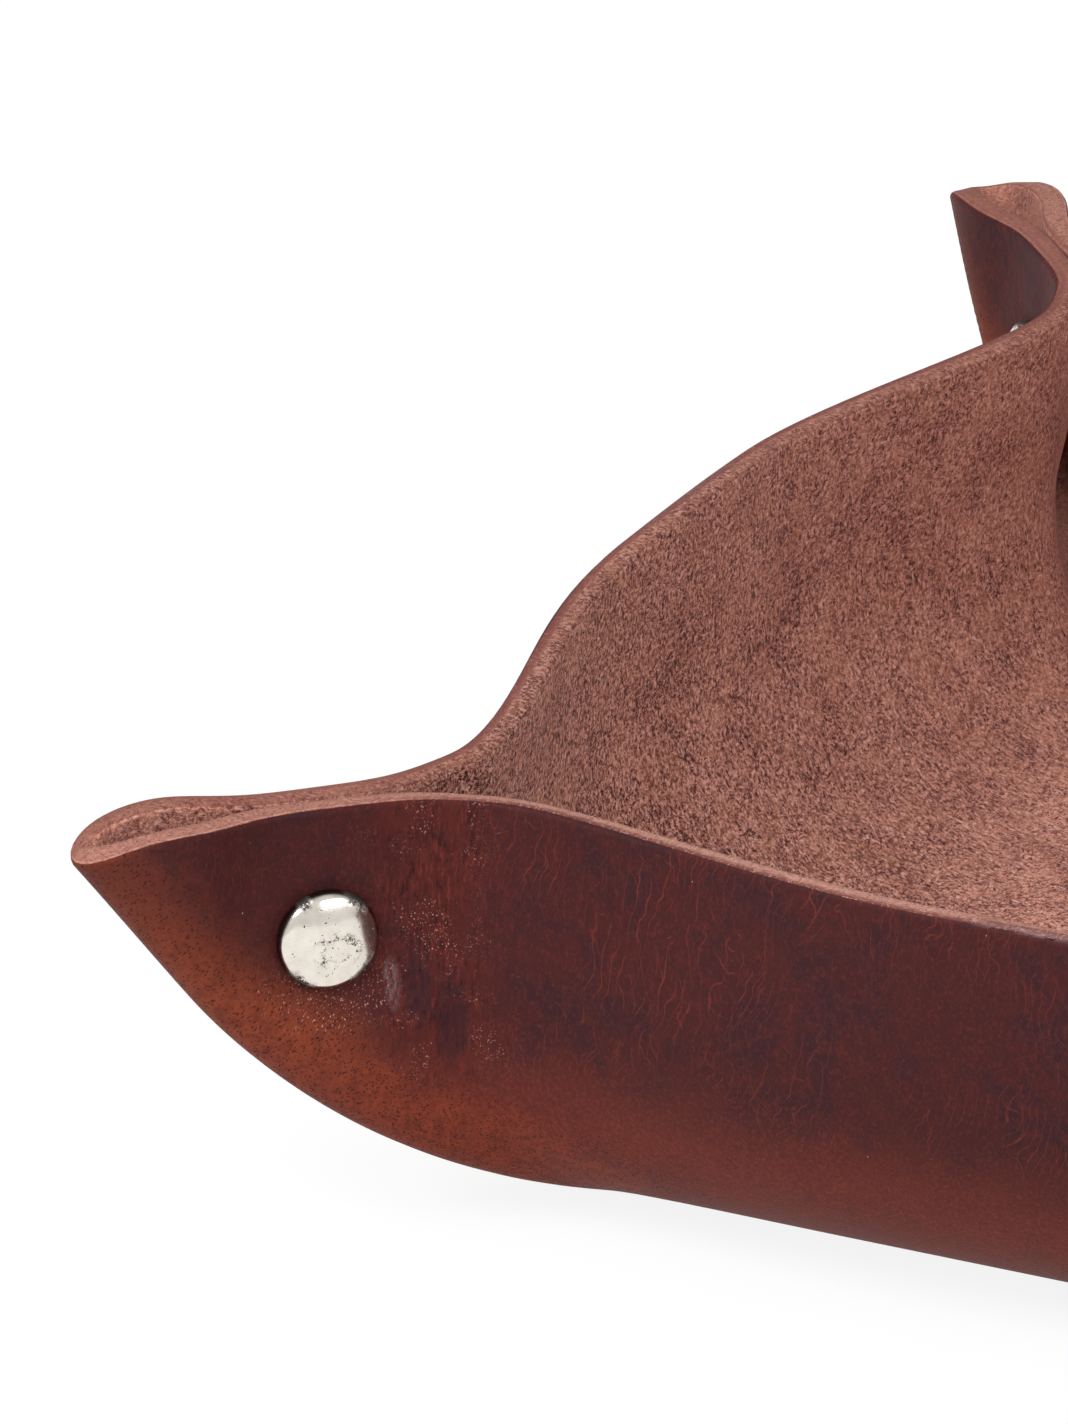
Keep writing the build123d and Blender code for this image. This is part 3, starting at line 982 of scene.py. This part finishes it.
def cut_finish(material):
    f = Finish(material)
    spot = f.places()
    along, across, _ = corner_signals(f, spot)
    level = f.map_parts("depth")[0] + (f.noise(spot, 2.4, 3.0, 0.6) - 0.5) * 0.14
    hair = nap(f, spot, 0.22, 2.2)
    lipped, rubbed, clean = [f.ramp(level, bands) for bands in (LIPPED, RUBBED, CLEAN)]
    colour = f.mix(along.step(-12.0, -6.0), lipped, rubbed)
    colour = f.mix(along.step(20.0, 42.0), colour, clean)
    colour = f.mix(hair.step(0.40, 0.50, 0.60, 0.0), colour, rgb(96, 60, 54))
    colour = f.mix(hair.step(0.53, 0.64, 0.0, 0.50), colour, rgb(184, 140, 125))

    suede, _ = nap_colour(f, spot)
    on_sides = across.step(-1.5, 1.5)
    hairy = (level - on_sides * 0.56).step(-0.02, 0.08, 1.0, 0.0)
    colour = f.mix(hairy, colour, f.mix(0.52, suede, rgb(96, 56, 48)))
    colour = f.mix(on_sides * (1 - hairy) * 0.60, colour, rgb(104, 58, 52))
    colour = f.mix(along.step(14.0, 34.0) * 0.24, colour, rgb(108, 62, 52))
    f.surface(Base_Color=colour, Roughness=0.85, Normal=f.bump(hair, 0.08),
              Specular_IOR_Level=0.12)


cut_finish(bpy.data.materials["cut edge"])
print("cut edge:", len(bpy.data.materials["cut edge"].node_tree.nodes), "nodes")

# %% [markdown]
# ## Nickel and plated steel
#
# The caps are bright warm nickel. Handling has left dark specks in a ring beside the middle,
# four chipped places at the rolled edge and a few stray specks. A dark ring round the rim is a
# painted reflection of the dark leather beside the cap. The `face` map holds each cap's own flat
# face in millimetres, so distance from its middle is easy.

# %% Nickel
CHIPPED = ((0.95, 0.24), (-2.25, 0.26), (-0.72, 0.30), (2.1, 0.12))
RING_X, RING_Y, RING_R = 0.45, -0.6, 1.5


def nickel_marks(f, spot, across_face, up_face, radius):
    """Dark specks, from 0 to 1."""
    grit = f.noise(f.sway(spot, 0.35, 0.35), 0.20, 3.0, 0.7)
    ring_x, ring_y = (across_face - RING_X) * 0.8, (up_face - RING_Y) * 1.05
    ring = abs((ring_x * ring_x + ring_y * ring_y).root() - RING_R).step(0.12, 0.75, 1.0, 0.0)
    sparse = f.noise(spot, 0.9, 2.0).step(0.42, 0.58)
    angle = up_face.maths("ARCTAN2", up_face, across_face)
    near = [abs(angle - turn).step(wide * 0.4, wide * 1.6, 1.0, 0.0) for turn, wide in CHIPPED]
    chipped = near[0].largest(near[1]).largest(near[2]).largest(near[3])
    edge = (radius + (f.noise(spot, 0.8, 2.0) - 0.5) * 1.6).step(4.0, 4.5)
    stray = f.noise(spot, 0.30, 1.0).step(0.70, 0.74) * radius.step(3.8, 4.6, 1.0, 0.0)
    marks = grit.step(0.47, 0.54) * ring * sparse + grit.step(0.38, 0.50) * edge * chipped
    return (marks + stray).smallest(1.0)


def nickel_finish(material):
    f = Finish(material)
    spot = f.places()
    across_face, up_face = f.map_parts("face")
    radius = (across_face * across_face + up_face * up_face).root()
    marks = nickel_marks(f, spot, across_face, up_face, radius)
    # Painted reflection: the rim is darkened as if it mirrored the dark leather round the cap.
    dark_rim_reflection = (radius + (f.noise(spot, 1.6, 2.0) - 0.5) * 0.5).step(4.60, 4.95)
    cloud = f.noise(spot, 1.2, 3.0, 0.6)
    colour = f.mix(cloud.step(0.3, 0.7), rgb(228, 219, 207), rgb(238, 231, 221))
    colour = f.mix(dark_rim_reflection * 0.85, colour, rgb(70, 58, 60))
    colour = f.mix(marks, colour, rgb(40, 35, 32))
    rough = 0.10 + cloud * 0.08 + marks * 0.45 + dark_rim_reflection * 0.10
    scratches = f.noise(f.vector(across_face * 0.15, up_face * 3.0, 0.0), 0.35, 2.0, 0.6)
    relief = f.bump(scratches * 0.3 + cloud * 0.8 - marks * 0.6, 0.008)
    f.surface(Base_Color=colour, Roughness=rough, Metallic=1 - marks * 0.7, Normal=relief)


nickel_finish(nickel)
print("warm nickel:", len(nickel.node_tree.nodes), "nodes, on", 2 * len(CORNERS), "caps")

# %% [markdown]
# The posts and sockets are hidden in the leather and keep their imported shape, with a plainer
# plated steel that shows the fine lines of drawing.

# %% Plated steel
def steel_finish(material):
    f = Finish(material)
    x, y, z = f.parts(f.places())
    drawn = f.noise(f.vector(x, y, z * 6.0), 0.8, 2.0)
    colour = f.mix(drawn.step(0.3, 0.7), rgb(196, 192, 184), rgb(214, 211, 204))
    f.surface(Base_Color=colour, Roughness=0.28 + drawn * 0.15, Metallic=1.0,
              Normal=f.bump(drawn, 0.01))


steel = bpy.data.materials.new("plated steel")
steel_finish(steel)
for corner in CORNERS:
    for part in ("socket", "post"):
        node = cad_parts[f"{corner}_{part}"]
        node.data.materials.clear()
        node.data.materials.append(steel)
print("plated steel on", 2 * len(CORNERS), "hidden pieces")

# %% [markdown]
# ## Floor, light and finish
#
# The photograph has a pure white ground. The floor is white, and to the camera and to
# reflections it also glows a little, so that it reads as white paper without more light on
# the tray, and still keeps a soft shadow. A large soft lamp stands in front and above, and
# the world fills in the rest.

# %% Floor
PAPER_SIZE, GLOW_SHARE = 6, 0.88

bpy.ops.object.select_all(action="DESELECT")
bpy.ops.mesh.primitive_plane_add(size=PAPER_SIZE, location=(0, 0, 0))
ground = bpy.context.object
ground.name = "ground"
paper = bpy.data.materials.new("white paper")
ground.data.materials.append(paper)
f = Finish(paper)
lit = f.node("ShaderNodeBsdfDiffuse", None, {"Color": (0.86, 0.86, 0.86, 1.0)})
glow = f.node("ShaderNodeEmission", None, {"Color": (1.0, 1.0, 1.0, 1.0), "Strength": 1.0})
to_camera = f.node("ShaderNodeLightPath", out="Is Camera Ray")
to_gloss = f.node("ShaderNodeLightPath", out="Is Glossy Ray")
share = to_camera.largest(to_gloss) * GLOW_SHARE
f.node_output(f.node("ShaderNodeMixShader", None, {0: share, 1: lit, 2: glow}))
ground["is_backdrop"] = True
print("paper", PAPER_SIZE, "m wide, glowing by", GLOW_SHARE)

# %% Light
world = bpy.data.worlds.new("studio")
bpy.context.scene.world = world
world.use_nodes = True
background = world.node_tree.nodes["Background"]
background.inputs["Color"].default_value = (1.0, 1.0, 1.0, 1.0)
background.inputs["Strength"].default_value = 0.75


def soft_lamp(name, place, toward, size, power):
    lamp = bpy.data.lights.new(name, "AREA")
    lamp.shape = "RECTANGLE"
    lamp.size, lamp.size_y = size
    lamp.energy = power
    holder = bpy.data.objects.new(name, lamp)
    bpy.context.collection.objects.link(holder)
    holder.location = place
    holder.rotation_euler = (Vector(toward) - Vector(place)).to_track_quat("-Z", "Y").to_euler()


TRAY = (0, 0, 0.02)
soft_lamp("key", (-0.5, -0.9, 1.1), TRAY, (0.9, 0.7), 20.0)
soft_lamp("fill", (1.2, -0.5, 0.8), TRAY, (1.0, 0.8), 7.0)
print("key and fill lamps, and a world of strength", background.inputs["Strength"].default_value)

view = bpy.context.scene.view_settings
view.view_transform = "Standard"

# %% Sizes and the end
visual_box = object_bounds()
for name, box in (("packed", cad_box), ("dressed", visual_box)):
    print(name, [round((b - a) / MM, 1) for a, b in zip(*box)], "mm")
